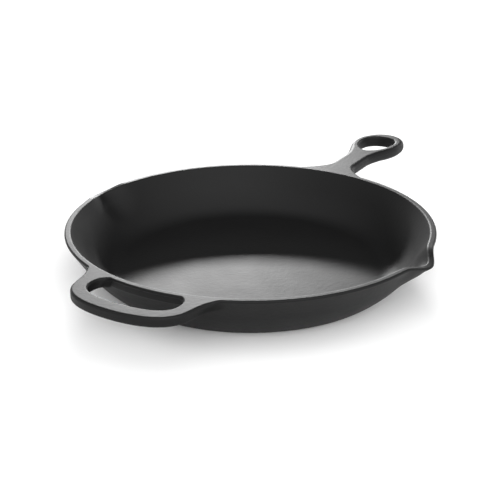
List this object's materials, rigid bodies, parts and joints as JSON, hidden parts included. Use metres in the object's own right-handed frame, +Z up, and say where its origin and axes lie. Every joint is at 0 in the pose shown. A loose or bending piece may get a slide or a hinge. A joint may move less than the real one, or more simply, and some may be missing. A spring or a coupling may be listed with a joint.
{
  "type": "cast iron skillet",
  "caption": "Round cast iron skillet with flared sides, pour spouts at the rim, a long handle with a hanging hole and a looped helper handle.",
  "frame": {"origin": "centre of the pan's underside, on the table", "axes": "+X along the long handle, +Z up, +Y toward the left pour spout as seen when looking along the handle"},
  "size_m": [0.4803, 0.3184, 0.0435],
  "materials": {
    "iron": "satin black"
  },
  "bodies": {
    "root": {"cooking_floor": "iron", "handle_side_wall": "iron", "helper_side_wall": "iron", "left_pour_spout": "iron", "right_pour_spout": "iron", "handle_neck": "iron", "hanging_loop": "iron", "helper_handle": "iron"}
  },
  "joints": []
}
